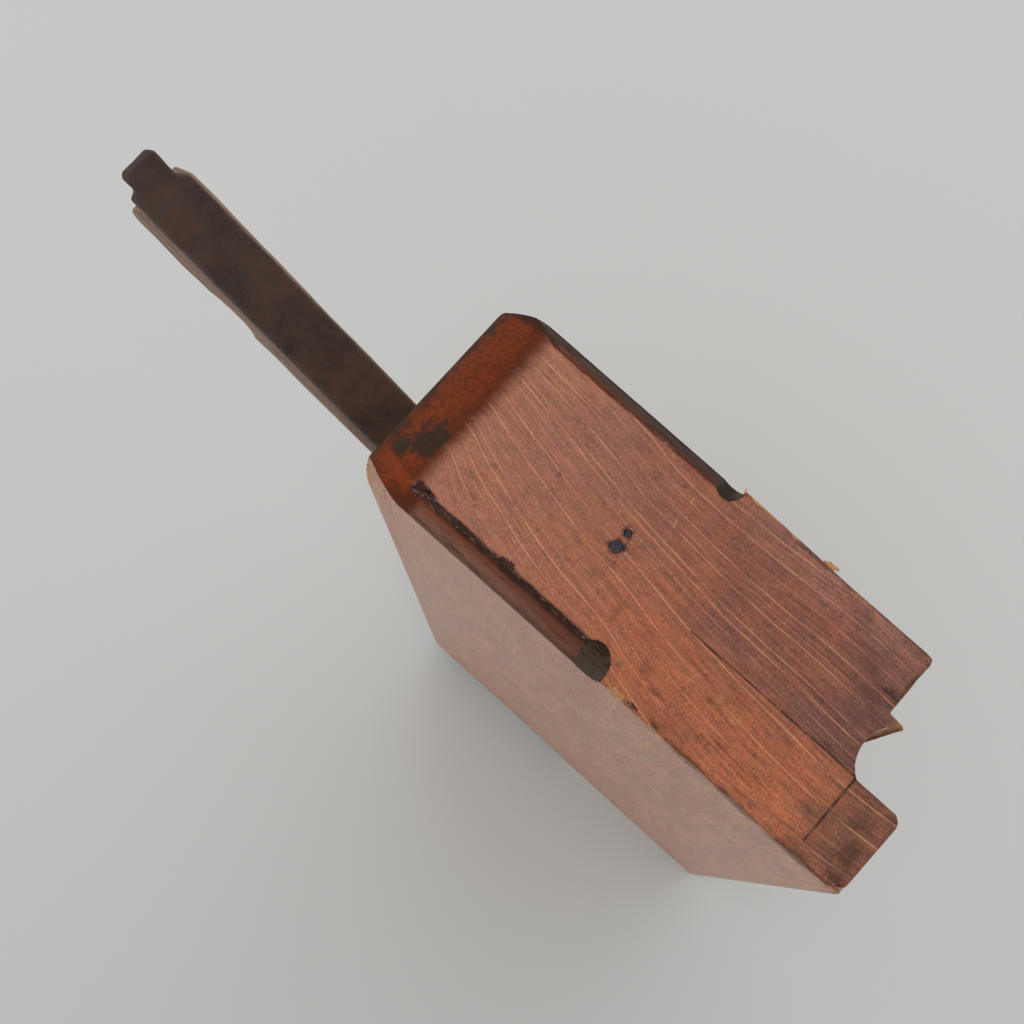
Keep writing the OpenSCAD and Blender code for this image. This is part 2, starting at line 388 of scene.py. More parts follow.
# %% Node group: worn corners and dirt
g, where = start_group("worn_corners", Reach=0.0008, Breakup=400.0)
rounded = g.value(0, "ShaderNodeBevel", {"Radius": g.given["Reach"]}, samples=4)
plain = g.value("Normal", "ShaderNodeNewGeometry")
corner = g.step(g.along(rounded, plain), 0.999, 0.86)
patches = g.noise(where, g.given["Breakup"], 3, 0.6)
g.give(Corner=corner * g.step(patches, 0.35, 0.6))

g, where = start_group("dirt", Blot_Size=0.006, Cover=0.4)
blots = g.noise(where, 1.0 / g.given["Blot Size"], 5, 0.62)
edge = 1 - g.given["Cover"]
dirt = g.step(blots, edge, edge + 0.22)
specks = g.value(0, "ShaderNodeTexVoronoi", {"Vector": where, "Scale": 330.0})
chance = g.noise(where, 150.0, 1)
g.give(Dirt=dirt, Specks=g.step(specks, 0.14, 0.06) * g.step(chance, 0.6, 0.66))
print("wear and dirt ready")

# %% [markdown]
# ## Where hands polished the wood
#
# The heel's chamfers are what the palm pushes on. They are dark, smooth and glossy, while the end
# grain beside them stays dry. Each chamfer is a plane, so a point's distance from that plane
# says whether it is on the chamfer. The toe has the same chamfers, so the length is folded about
# the middle. The two gouge cuts that stop the side chamfers are filled with old dirt, and a
# painted shade deepens in them away from the left side.

# %% Node group: hand polish
top_drop, top_run = 9.9, 8.0
side_chamfers = {"left": (3.3, 4.5, 44.7), "right": (2.2, 3.3, 46.2)}

g, where = start_group("hand_polish")
across, height, up = bench(g, where)
middle = heel_z / 2
reach = abs(up - middle) + middle
ragged = g.noise(where, 420.0, 3, 0.6) - 0.5
streaky = g.noise(where, (160, 1100, 160), 3, 0.6) - 0.5


def over_plane(inward, drop, run):
    """Millimetres outside the plane of a chamfer, from a place's distance inward from its side."""
    slope = math.hypot(drop, run)
    sideways = (drop - inward) * (run / slope)
    return sideways + (reach - heel_z) * (drop / slope)


top = over_plane(body_h - height, top_drop, top_run)
top = g.step(top + ragged * 0.8, -0.9, 0.0)
slope = height - (body_h - top_drop) + streaky * 1.8
polish = top * g.step(slope, -0.8, 2.4)
stops = 0.0
for side, (face, run, stop) in side_chamfers.items():
    inward = across if side == "left" else body_w - across
    outside = over_plane(inward, face, run)
    on_chamfer = g.step(outside + ragged * 0.5, -0.45, -0.12)
    polish = g.most(polish, on_chamfer * g.step(height, stop, stop + 1.5))
    gouge_r = math.hypot(face, run) / 2
    gouge_up = height - stop
    gouge_out = outside - gouge_r * 0.75
    away = g.length(gouge_up, gouge_out) + ragged * 0.2
    stops = g.most(stops, g.step(away, gouge_r + 0.2, gouge_r + 0.1))
g.give(Polish=polish, Stops=stops, Slope=slope * (1 / top_drop))
print("polish on", 1 + len(side_chamfers), "chamfers of each end")

# %% [markdown]
# ## Marks on the heel
#
# The maker scribed the fence's wall and its height on the heel with a marking gauge, and the
# lines have filled with dirt. Knocks and damp left dark spots. Each spot is a soft round step,
# and each line is a soft step on the distance to a straight piece of line.

# %% Node group: marks on the heel
# Each line: its width, and the points it runs through
gauge_lines = [(0.12, (13.35, 8.2), (13.3, 37.2)), (0.19, (2.6, 8.1), (13.4, 8.3)),
               (0.16, (24.5, 10.6), (24.45, 13.8))]
pale_scratches_and_arris_highlight = [(0.07, (7.9, 33.3), (9.4, 32.9), (10.8, 32.1), (12.1, 30.9)),
                  (0.06, (13.5, 34.4), (16.4, 33.4)), (0.07, (22.0, 32.5), (22.9, 31.6)),
                  (0.07, (16.9, 28.3), (18.5, 28.4)), (0.08, (3.3, 61.8), (5.5, 61.7)),
                  (0.07, (5.5, 61.7), (7.7, 61.3)), (0.06, (7.0, 44.3), (8.0, 43.1)),
                  (0.12, (22.2, 48.3), (23.3, 48.6)), (0.08, (22.9, 48.2), (22.6, 49.1)),
                  (0.1, (26.5, 48.8), (27.3, 48.9)),
                  # This last line runs down the left chamfer's arris: pale worn wood with a painted
                  # highlight along the edge
                  (0.11, (3.45, 63.5), (3.3, 55.0), (3.5, 46.9))]
# Soft clouds of dirt: across, height, reach across, reach up, strength
dirt_clouds = [
    (13.9, 13.6, 0.8, 1.3, 0.6), (0.5, 32.5, 0.8, 1.3, 1.0), (3.9, 35.2, 0.5, 1.6, 0.8),
    (3.4, 27.2, 1.1, 0.9, 0.9), (4.3, 24.8, 1.0, 1.5, 0.5), (5.4, 38.6, 1.6, 1.4, 0.45),
    (4.6, 2.7, 3.6, 1.9, 0.75), (9.6, 3.8, 2.6, 2.2, 0.5), (1.2, 1.8, 1.5, 2.2, 0.9),
    (12.4, 1.6, 1.2, 1.6, 0.5), (24.9, 11.9, 0.8, 1.7, 0.9), (31.6, 13.0, 1.0, 3.2, 0.7),
    (30.3, 21.5, 1.8, 3.5, 0.4), (8.6, 46.4, 2.4, 0.7, 0.35), (22.8, 14.2, 1.4, 2.6, 0.4),
    (0.2, 26.5, 0.6, 5.0, 0.9), (0.1, 18.0, 0.5, 6.0, 0.9), (0.2, 9.0, 0.7, 6.0, 0.9),
    (32.0, 32.0, 0.5, 9.0, 0.7), (28.5, 10.8, 4.0, 0.5, 0.7), (13.0, 4.0, 0.5, 4.0, 0.6),
    (2.2, 31.0, 2.2, 4.0, 0.3), (10.5, 27.5, 2.4, 5.0, 0.25), (30.8, 38.5, 1.2, 5.0, 0.3),
]
brad_stains = [(15.2, 52.25, 1.5), (17.6, 52.3, 1.0), (14.8, 53.0, 0.9), (15.6, 51.6, 0.9)]

g, where = start_group("heel_marks")
across, height, up = bench(g, where)
ragged = g.noise(where, 900.0, 4, 0.65) - 0.5
patchy = g.noise(where, 420.0, 5, 0.7)
on_heel = g.step(up, heel_z - 4.5, heel_z - 3.5)


def off_line(g, start, end):
    """Millimetres from a straight piece of line on the heel."""
    run, rise = end[0] - start[0], end[1] - start[1]
    length = run * run + rise * rise
    along_x = (across - start[0]) * (run / length)
    along_y = (height - start[1]) * (rise / length)
    along = g.least(g.most(along_x + along_y, 0.0), 1.0)
    dx = across - start[0] - along * run
    dy = height - start[1] - along * rise
    return g.length(dx, dy)


def all_lines(g, lines):
    mark = 0.0
    for width, *points in lines:
        for start, end in zip(points, points[1:]):
            off = off_line(g, start, end) + ragged * (width * 0.9)
            mark = g.most(mark, g.step(off, width * 1.5, width * 0.4))
    return mark * on_heel


def off_spot(g, spot_across, spot_height, reach_across, reach_up):
    """Distance from the middle of a spot, 1 at its rim."""
    dx = (across - spot_across) * (1 / reach_across)
    dy = (height - spot_height) * (1 / reach_up)
    return g.length(dx, dy)


filled = g.step(patchy, 0.36, 0.56, 0.5, 1.0)
worn_off = g.step(patchy, 0.40, 0.60, 0.15, 1.0)
spots = 0.0
for *spot, strength in dirt_clouds:
    off = off_spot(g, *spot) + (patchy - 0.5) * -3.4
    spots = g.most(spots, g.step(off, 1.1, 0.1, 0, strength))
stain = 0.0
for *spot, radius in brad_stains:
    off = off_spot(g, *spot, radius, radius)
    stain = g.most(stain, g.step(off + ragged * 2.2, 1.1, 0.2))
gauge, pale = all_lines(g, gauge_lines) * filled, all_lines(g, pale_scratches_and_arris_highlight) * worn_off
g.give(Gauge=gauge, Pale=pale, Spots=spots * on_heel, Brad_Stain=stain * on_heel)
print(len(gauge_lines), "gauge lines,", len(dirt_clouds), "clouds of dirt")

# %% [markdown]
# ## The beech finish
#
# Old beech that has been oiled for a century is red-brown. Its end grain drinks more oil than
# its sides, so it is deeper in colour, and it is most orange near the left side and almost
# purple towards the lower right. The sides' colour is also made paler by a painted sheen. The
# finish is laid on in coats: wood colour, rings, pores and rays, then spots and lines, then the
# dark polished chamfers with their painted sheen and shade, then broken wood.
# A surface value named "broken", painted on the mesh where wood has been knocked off, tells the
# finish where to show torn fibres.

# %% Beech colours and the shader
wood = {
    "orange": (0.350, 0.114, 0.056), "plum": (0.200, 0.080, 0.057), "soot": (0.075, 0.052, 0.045),
    "low": (0.100, 0.052, 0.048), "dust": (0.320, 0.175, 0.140),
    # The two side colours are the side grain made paler by a painted sheen
    "side": (0.40, 0.200, 0.129), "side_pale_with_sheen": (0.48, 0.275, 0.187), "ring": (0.68, 0.32, 0.17),
    # Next line: a painted orange sheen for the chamfers, their dark polish, and a dark rim colour
    # that also serves as painted shade
    "painted_sheen": (0.180, 0.028, 0.003), "polish": (0.070, 0.013, 0.003), "rim": (0.017, 0.009, 0.006),
    "palm": (0.210, 0.110, 0.078), "patch": (0.020, 0.014, 0.010), "speck": (0.62, 0.46, 0.38),
    "dirt": (0.022, 0.014, 0.011), "stop": (0.070, 0.054, 0.036), "fibre": (0.46, 0.25, 0.10),
    # splinter is a pale colour for painted glints on the shiny torn wood
    "tear": (0.030, 0.013, 0.014), "splinter": (0.26, 0.18, 0.15),
    "iron_stain": (0.026, 0.024, 0.028),
}
materials = {}


def new_material(name):
    """New material: its graph, and the place on the surface in the object's own frame."""
    made = materials[name] = bpy.data.materials.new(name)
    made.use_nodes = True
    made.node_tree.nodes.clear()
    g = Graph(made.node_tree)
    return g, g.value("Object", "ShaderNodeTexCoord")


def finish_with(g, color, roughness, height, bump, specular, metallic=0.0):
    """Shader, bump and output. Height is in millimetres of relief."""
    relief = {"Height": height, "Strength": bump, "Distance": MM}
    values = {"Normal": g.value(0, "ShaderNodeBump", relief), "Base Color": color}
    values.update({"Roughness": roughness, "Metallic": metallic, "Specular IOR Level": specular})
    shader = g.value(0, "ShaderNodeBsdfPrincipled", values)
    g.node("ShaderNodeOutputMaterial", {"Surface": shader})


def facing(g, direction):
    """How squarely the surface faces a direction, forward or backward, from 0 to 1."""
    return abs(g.along(g.value("Normal", "ShaderNodeTexCoord"), direction))


def shaded(g, color, grain, depth):
    """Colour made lighter and darker by the fine grain, with a little of its own tint."""
    shade = 1 + (grain["Pores"] - 0.5) * (depth * 2)
    values = {0: grain["Tint"], 1: (0.5,) * 3, 2: (0.75,) * 3}
    tint = g.value(0, "ShaderNodeVectorMath", values, operation="MULTIPLY_ADD")
    return g.mix(1.0, g.shade(color, shade), tint, "MULTIPLY")


print(len(wood), "colours for the beech")

# %% [markdown]
# The heel and its chamfers have colours of their own. Each starts from a broad wandering noise,
# so that no border between two colours runs straight.

# %% Colours of the heel and of its chamfers
def end_grain(g, where, grain, rings):
    """Colour of the oiled heel: orange on the left, plum to the right of the scribed line."""
    across, height = bench(g, where)[:2]
    broad = g.noise(where, 75.0, 3, 0.55) - 0.5
    low = g.step(height + broad * 22, 46, 37)
    right = g.step(across + broad * 0.8, 13.0, 13.6)
    plum = g.step(across + broad * 18, 2, 34, 0.16, 0.74)
    plum += low * g.step(right, 0, 1, -0.06, 0.2)
    plum += grain["Cloud"] - 0.5
    plum += (rings["Band"] - 0.5) * 0.5
    plum -= g.step(height, 60, 76) * g.step(across, 14, 24, 0.12, 0.4)
    plum -= g.step(across, 24, 31, 0, 0.16)
    near_line = abs(across + broad * 5 - 14.5)
    plum += g.step(near_line, 6.5, 0.5, 0, 0.26) * low
    color = g.mix(g.step(plum, -0.1, 1.1), wood["orange"], wood["plum"])
    near_foot = g.step(height + broad * 14, 11, 5, 0, 0.5)
    near_foot *= g.step(grain["Cloud"], 0.3, 0.6, 0.7, 1.2)
    color = g.mix(near_foot, color, wood["soot"])
    lowest = right * g.step(height + broad * 9, 25, 11, 0, 0.6)
    lowest *= g.step(across, 31, 25, 0.35, 1.0)
    color = g.mix(lowest, color, wood["low"])
    dusty = g.step(height + broad * 12, 36, 74, 0, 0.36)
    dusty = g.most(dusty, g.step(height, 46, 40, 0, 0.3) * g.step(across, 26, 32))
    color = g.mix(dusty, color, wood["dust"])
    mottle = g.noise(where, (420, 900, 300), 4, 0.66)
    color = g.mix(g.step(mottle, 0.48, 0.72, 0, 0.38), color, wood["soot"])
    woven = (rings["Streaks"] - 0.5) * 1.6 + (grain["Rays"] - 0.5) * 0.65
    streaks = 1 + woven * g.step(height, 52, 26, 0.75, 1.2)
    color = g.shade(color, streaks)
    return g.mix(rings["Line"] * 0.56, color, wood["ring"])


def polished_wood(g, where, polish):
    """Chamfers: dark polish, a painted orange sheen mid-slope and painted shade at the rim."""
    across, height = bench(g, where)[:2]
    streak = g.noise(where, (900, 1900, 900), 5, 0.75)
    blot = g.noise(where, 330.0, 5, 0.66) - 0.5
    slope = polish["Slope"] + blot * 0.7
    # Painted sheen: lighter orange across the middle of the chamfer's slope
    painted_sheen = g.step(slope, 0.05, 0.55) * g.step(slope, 1.05, 0.75)
    painted_sheen *= g.step(streak, 0.36, 0.62, 0.1, 1.0)
    # Painted highlight on the rounded corner where the top and left chamfers meet
    painted_corner_highlight = across - 2.6 - (height - 79) * 0.3
    painted_corner_highlight = g.step(abs(painted_corner_highlight) + blot * 2, 1.7, 0.2)
    painted_sheen = g.most(painted_sheen, painted_corner_highlight * (g.step(height, 78, 79) * g.step(height, 86, 84.5)))
    up_side = g.step(height, body_h - top_drop, body_h - top_drop - 1.5)
    inward = g.least(across, body_w - across)
    # Painted sheen along a strip of each side chamfer, stronger towards the top
    strip = g.step(inward + blot * 1.5, 0.3, 1.2) * g.step(inward, 3.0, 1.9)
    lit = g.step(blot, -0.15, 0.12, 0.15, 1.0) * g.step(height, 50, 66, 0.3, 0.95)
    painted_sheen = g.most(painted_sheen, up_side * strip * lit)
    color = g.mix(painted_sheen, wood["polish"], wood["painted_sheen"])
    outer = g.step(across + blot * 1.6, 3.2, 0.4, 0.05, 0.8)
    outer *= g.step(height, 46, 64, 0.55, 1.0)
    outer *= g.step(across, body_w / 2, body_w / 3)
    color = g.mix(up_side * outer, color, wood["palm"])
    scuffs = g.noise(where, (170, 1500, 1500), 4, 0.7)
    color = g.mix(up_side * g.step(scuffs, 0.5, 0.66, 0, 0.6), color, wood["rim"])
    # Painted shade at the rim and off the sheen strip, with a darker right chamfer and inner edge
    dark_and_painted_shade = g.most(g.step(slope, 0.80, 1.05, 0, 0.8), up_side * (0.4 - strip * 0.4))
    dark_and_painted_shade = g.most(dark_and_painted_shade, g.step(across, body_w - 2.6, body_w - 1.4, 0, 0.75))
    inner = g.step(inward + blot * 1.4, 2.1, 2.9, 0, 0.9)
    dark_and_painted_shade = g.most(dark_and_painted_shade, up_side * inner)
    patch = g.length((across - 9.6) * 0.29, (height - 81.2) * 0.42)
    beside = g.length((across - 6.6) * 0.55, (height - 84.0) * 0.6)
    patch = g.least(patch, beside)
    patch = g.step(patch * patch + blot * 4.5, 1.4, 0.3, 0, 0.95)
    # Dark wood and painted shade together, in the rim colour
    color = g.mix(g.step(dark_and_painted_shade, 0, 1), color, wood["rim"])
    return g.mix(patch, color, wood["patch"])


print("heel colours ready")

# %% [markdown]
# The material lays the coats over each other, from the plain side wood to the torn fibres.

# %% Beech, put together
def near_slip(g, across, height):
    """The slip's joint, which is glued tight and has no worn corners."""
    beside = g.step(across, groove_left - 1.1, groove_left - 0.6)
    beside *= g.step(across, groove_right + 1.0, groove_right + 0.6)
    return beside * g.step(height, groove_top + 1.2, groove_top + 0.8)


def beech():
    g, where = new_material("beech")
    rings = g.group("growth_rings", where)
    grain = g.group("beech_grain", where)
    polish = g.group("hand_polish", where)
    marks = g.group("heel_marks", where)
    dirt = g.group("dirt", where, Blot_Size=0.009, Cover=0.40)
    corners = g.group("worn_corners", where, Reach=0.0009)
    across, height, up = bench(g, where)
    end = g.step(facing(g, (0, 0, 1)), 0.35, 0.7)
    # Side grain, made paler by a painted sheen; the cloud gives its patches
    side = g.mix(g.step(grain["Cloud"], 0.35, 0.65), wood["side"], wood["side_pale_with_sheen"])
    side = g.over(side, (grain["Flecks"] * 0.32, wood["plum"]), (rings["Line"] * 0.3, wood["ring"]),
                  (dirt["Dirt"] * 0.45, wood["plum"]))
    color = g.mix(end, side, end_grain(g, where, grain, rings))
    color = shaded(g, color, grain, 0.4 + end * 0.22)
    dust = g.step(g.noise(where, 1500.0, 2, 0.6), 0.74, 0.80, 0, 0.45)
    color = g.over(
        color, (dust * end, wood["speck"]), (marks["Spots"] * 0.62, wood["dirt"]),
        (marks["Gauge"] * 0.85, wood["dirt"]), (marks["Brad Stain"] * 0.96, wood["iron_stain"]),
        (polish["Polish"] * 0.95, polished_wood(g, where, polish)),
        # Pale scratches, and a painted highlight along the left chamfer's arris
        (marks["Pale"] * 0.4, wood["ring"]),
    )
    fibres = g.noise(where, (500, 2200, 300), 4, 0.7)
    # Painted shade in the gouge stops: darker away from the left side, over their dirt colour
    painted_gouge_shade = g.step(across + (fibres - 0.5) * 9, 1.2, 4.2, 0.1, 0.9)
    stop = g.mix(painted_gouge_shade, wood["stop"], wood["rim"])
    color = g.mix(polish["Stops"] * 0.97, color, stop)
    worn = corners["Corner"] * (1 - near_slip(g, across, height))
    near_heel = g.step(up, heel_z - 16, heel_z - 6, 0.2, 0.6)
    color = g.mix(worn * near_heel, color, wood["dirt"])
    broken = g.value("Fac", "ShaderNodeAttribute", attribute_name="broken")
    torn = g.noise(where, (1300, 1300, 400), 3, 0.6)
    edge = (torn - 0.5) * 1.8
    # Painted glints: pale flecks on the shiny torn wood
    painted_glints = g.step(g.noise(where, (700, 3200, 900), 2), 0.58, 0.68, 0, 0.8)
    tear = g.mix(painted_glints, wood["tear"], wood["splinter"])
    color = g.mix(g.step(broken + edge, 0.2, 0.6, 0, 0.9), color, tear)
    fresh = edge * 0.8 - broken
    fresh = g.step(fresh, 0.3, 0.75, 0, 0.6) + g.step(fresh, 1.0, 1.3, 0, 0.35)
    color = g.mix(fresh, color, wood["fibre"])
    rough = g.step(grain["Cloud"], 0.3, 0.7, 0.28, 0.38) + end * 0.22
    rough -= polish["Polish"] * 0.20
    rough += g.most(marks["Spots"], polish["Stops"]) * 0.15
    relief = grain["Pores"] * 0.045 + grain["Rays"] * 0.012
    relief *= 1 - polish["Polish"] * 0.7
    relief += rings["Line"] * 0.015
    relief -= g.most(marks["Gauge"], marks["Pale"]) * 0.05
    rough_wood = abs(broken) * g.noise(where, 1500.0, 2)
    relief += rough_wood * 0.12
    finish_with(g, color, rough, relief, 0.9, specular=0.06)


beech()
print("beech nodes:", len(materials["beech"].node_tree.nodes))

# %% [markdown]
# ## The other finishes
#
# The slips are boxwood, dense and even, the colour of honey where they are clean. Their ends are
# as dirty as the beech around them. The wedge is plain beech that was never oiled much: dull and
# greyed. The iron is dark brown rust over black scale, rubbed a little brighter at its corners,
# and ground bright only at the cutting edge. The brads are nearly black.

# %% Boxwood, wedge and iron materials
box_tones = {"honey": (0.30, 0.135, 0.045), "deep": (0.13, 0.048, 0.018),
             "dirt": (0.03, 0.018, 0.012), "bare": (0.50, 0.27, 0.14)}
wedge_tones = {"grey": (0.26, 0.165, 0.115), "brown": (0.125, 0.050, 0.026),
               "pale": (0.42, 0.29, 0.21)}
iron_tones = {"scale": (0.020, 0.013, 0.011), "rust": (0.070, 0.030, 0.019),
              "earth": (0.043, 0.025, 0.018), "rubbed": (0.13, 0.10, 0.085),
              "steel": (0.42, 0.41, 0.40)}


def boxwood():
    g, where = new_material("boxwood")
    rings = g.group("growth_rings", where)
    grain = g.group("beech_grain", where)
    marks = g.group("heel_marks", where)
    dirt = g.group("dirt", where, Blot_Size=0.004, Cover=0.46)
    corners = g.group("worn_corners", where, Reach=0.0006)
    height = bench(g, where)[1]
    end = g.step(facing(g, (0, 0, 1)), 0.35, 0.7)
    streaks = g.noise(where, (1400, 1400, 60), 3, 0.6)
    color = g.mix(g.step(streaks, 0.35, 0.68), box_tones["honey"], box_tones["deep"])
    color = g.mix(dirt["Dirt"] * 0.5, color, box_tones["dirt"])
    color = g.mix(end * g.step(height, 8.4, 9.6), color, end_grain(g, where, grain, rings))
    color = shaded(g, color, grain, 0.42)
    color = g.mix(marks["Spots"] * 0.8, color, box_tones["dirt"])
    worn = corners["Corner"] * g.step(height, 10.2, 9.4)
    color = g.mix(worn * 0.7, color, box_tones["bare"])
    relief = streaks * 0.02 + grain["Pores"] * 0.04
    rough = g.step(grain["Cloud"], 0.3, 0.7, 0.44, 0.54) + end * 0.06
    finish_with(g, color, rough, relief, 0.8, specular=0.06)


def wedge_wood():
    g, where = new_material("wedge_wood")
    grain = g.group("beech_grain", where)
    dirt = g.group("dirt", where, Blot_Size=0.008, Cover=0.45)
    corners = g.group("worn_corners", where, Reach=0.0012)
    turned = {"Vector": where, "Angle": math.radians(-bed_angle)}
    along = g.value(0, "ShaderNodeVectorRotate", turned, rotation_type="Y_AXIS")
    streaks = g.noise(along, (900, 700, 22), 4, 0.6)
    lines = g.noise(along, (330, 2600, 14), 2, 0.6)
    ends = g.step(facing(g, up_bed), 0.25, 0.7)
    streaks = (streaks - 0.5) * (1 - ends * 0.7) + 0.5
    color = g.mix(g.step(streaks, 0.36, 0.66), wedge_tones["grey"], wedge_tones["brown"])
    handled = g.parts(where)[0] + (grain["Cloud"] - 0.5) * 0.03
    color = g.over(
        color, (g.step(lines, 0.52, 0.72, 0, 0.5), wedge_tones["pale"]),
        (g.step(handled, 0.092, 0.060, 0, 0.85), wedge_tones["brown"]),
        (dirt["Dirt"] * 0.6, wood["dirt"]), (dirt["Specks"] * 0.6, wood["dirt"]),
        (corners["Corner"] * 0.5, wedge_tones["pale"]),
    )
    relief = streaks * 0.06 + grain["Pores"] * 0.03
    rough = g.step(grain["Cloud"], 0.3, 0.7, 0.5, 0.66)
    finish_with(g, color, rough, relief, 0.9, specular=0.25)


def rusted_iron():
    g, where = new_material("rusted_iron")
    corners = g.group("worn_corners", where, Reach=0.0010, Breakup=260.0)
    broad = g.noise(where, 110.0, 5, 0.65)
    mottle = g.noise(where, 480.0, 5, 0.7)
    grit = g.noise(where, 2100.0, 3, 0.7)
    pit = g.step(g.noise(where, 900.0, 4, 0.75), 0.60, 0.72) * g.step(broad, 0.45, 0.55)
    color = g.mix(g.step(mottle, 0.38, 0.66), iron_tones["earth"], iron_tones["rust"])
    rubbed = corners["Corner"] * 0.55
    color = g.over(
        color, (g.step(broad, 0.42, 0.66, 0, 0.7), iron_tones["scale"]),
        (g.step(grit, 0.5, 0.75, 0, 0.6), iron_tones["rust"]), (pit * 0.7, iron_tones["scale"]),
        (rubbed, iron_tones["rubbed"]),
    )
    ground = g.value("Fac", "ShaderNodeAttribute", attribute_name="ground")
    ground *= g.step(broad, 0.66, 0.5)
    color = g.mix(ground * 0.85, color, iron_tones["steel"])
    metal = ground * 0.75 + rubbed * 0.5
    rough = g.step(mottle, 0.3, 0.7, 0.52, 0.78) - (ground + rubbed) * 0.22
    relief = mottle * 0.16 + grit * 0.05
    relief = (relief - pit * 0.12) * (1 - ground * 0.85)
    finish_with(g, color, rough, relief, 0.9, specular=0.3, metallic=metal)


def brad_iron():
    g, where = new_material("brad_iron")
    grit = g.noise(where, 1500.0, 4, 0.7)
    color = g.mix(g.step(grit, 0.4, 0.65), (0.016, 0.017, 0.022), (0.040, 0.042, 0.050))
    earth = g.noise(where, 2600.0, 3, 0.7)
    color = g.mix(g.step(earth, 0.56, 0.7, 0, 0.7), color, (0.085, 0.036, 0.024))
    rough = g.step(grit, 0.3, 0.7, 0.5, 0.8)
    finish_with(g, color, rough, grit * 0.06, 0.8, specular=0.3)


bed_angle = 55
up_bed = Vector((math.sin(math.radians(bed_angle)), 0, math.cos(math.radians(bed_angle))))
for make in (boxwood, wedge_wood, rusted_iron, brad_iron):
    make()
print("finishes:", ", ".join(sorted(materials)))

# %% [markdown]
# ## Modelling helpers
#
# A CAD solid arrives as loose triangles. A copy is merged and its flat faces are made whole, and
# then it can be worked like any mesh: corners are bevelled, faces are cut into a fine grid where
# they need detail, and points are pushed in. Wear only ever takes wood away, so next to nothing
# goes outwards: 0.03 mm at most, where the noise peaks. The moving pieces stay clear of each other.

# %% Modelling helpers
ALONG_X, ALONG_Y, ALONG_Z = Vector((1, 0, 0)), Vector((0, 1, 0)), Vector((0, 0, 1))
# Edges that turn more than this are corners. Smaller turns are facets of a curve
corner_turn = math.radians(28)


def merged_copy(node):
    """The CAD node as a mesh with shared points and whole flat faces."""
    mesh = bmesh.new()
    mesh.from_mesh(cad[node].data)
    bmesh.ops.remove_doubles(mesh, verts=mesh.verts, dist=2e-6)
    bmesh.ops.dissolve_limit(
        mesh, angle_limit=math.radians(0.5), verts=mesh.verts, edges=mesh.edges
    )
    return mesh


def ease(mesh, width, wanted=lambda edge: True):
    """Round off the wanted corners, width in millimetres, and count them."""
    turned = [e for e in mesh.edges if e.calc_face_angle(0.0) > corner_turn]
    edges = [e for e in turned if wanted(e)]
    bmesh.ops.bevel(
        mesh, geom=edges, offset=width * MM, offset_type="OFFSET", affect="EDGES",
        segments=3, profile=0.5, material=-1, clamp_overlap=False, loop_slide=True,
    )
    return len(edges)


def whole(mesh):
    return mesh.verts[:] + mesh.edges[:] + mesh.faces[:]


def cut(mesh, geometry, direction, stations, origin=Vector()):
    """Cut geometry by planes square to a direction, at stations in millimetres from an origin."""
    for station in stations:
        made = bmesh.ops.bisect_plane(
            mesh, geom=geometry, dist=1e-6, plane_no=direction,
            plane_co=origin + direction * (station * MM),
        )
        geometry = made["geom"]
    return geometry


def dressed(mesh, name, finish):
    data = bpy.data.meshes.new(name)
    mesh.to_mesh(data)
    mesh.free()
    data.materials.append(materials[finish])
    return add_object(name, data)


def piece(mesh, name, finish, body, replaced=(), sharp=32):
    """Finished mesh to object: dressed, shaded, and tied to its body."""
    made = dressed(mesh, name, finish)
    made.data.shade_smooth()
    made.data.set_sharp_from_angle(angle=math.radians(sharp))
    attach(made, body)
    if replaced:
        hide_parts(*replaced)
    print(name, "has", len(made.data.polygons), "faces")


def spread(start, end, count):
    return [start + (end - start) * i / (count - 1) for i in range(count)]


def clamp(value):
    """The value, kept between 0 and 1."""
    return max(0.0, min(1.0, value))


print("modelling helpers ready")

# %% [markdown]
# ## The stock
#
# Only the outer corners are eased. The groove of the slip, the brad holes and the inside of the
# mortise stay crisp, because nothing rubs there. The last 13 mm under the heel are then cut
# into cells of about half a millimetre, finer along the left chamfer, where the wood is torn.

# %% Stock: eased corners and a fine grid at the heel
def is_outer(edge):
    """Corners that hands, work and shelves rub, and not the joints and the inside."""
    middle = (edge.verts[0].co + edge.verts[1].co) / (2 * MM)
    across, height = left_side - middle.y, middle.x - fence_bottom
    beside_groove = groove_left - 0.05 < across < groove_right + 0.05
    in_groove = beside_groove and height < groove_top + 0.1
    at_brads = 14 < across < 18.5 and 51 < height < 53.6 and middle.z > heel_z - 15
    at_fence = across < 0.5 and height < 0.5
    on_end = middle.z < 9 or middle.z > heel_z - 9
    on_skin = across < 0.05 or across > body_w - 0.05 or height > body_h - 0.05
    rubbed = on_end or on_skin or height < profile_top
    return rubbed and not (in_groove or at_brads or at_fence)


stock = merged_copy("stock")
outer = ease(stock, 0.32, is_outer)
zone_depth = 13.0
zone_z = (heel_z - zone_depth) * MM
cut(stock, whole(stock), ALONG_Z, [heel_z - zone_depth])
zone = {f for f in stock.faces if f.calc_center_median().z > zone_z}
zone |= {part for f in zone for part in (*f.edges, *f.verts)}
heights = spread(0.4, body_h - 0.4, 150)
acrosses = spread(0.6, 5.2, 22) + spread(5.7, 31.4, 46) + spread(31.7, 32.4, 3)
zone = cut(stock, list(zone), ALONG_X, sorted(fence_bottom + h for h in heights))
zone = cut(stock, zone, ALONG_Y, sorted(left_side - s for s in acrosses))
cut(stock, zone, ALONG_Z, [heel_z - d for d in spread(0.7, zone_depth - 0.6, 15)])
print("outer corners:", outer, " faces now:", len(stock.faces))

# %% [markdown]
# Wear is a set of knocks. A knock is a soft hollow with a ragged rim, and it can mark its wood
# as broken for the finish. The list below follows the real heel: the long tear beside the left
# chamfer, the bruise under it, the rubbed right corner and the crumbled corner of the fence. A
# low ripple over every tilted place takes the machine-made straightness away.

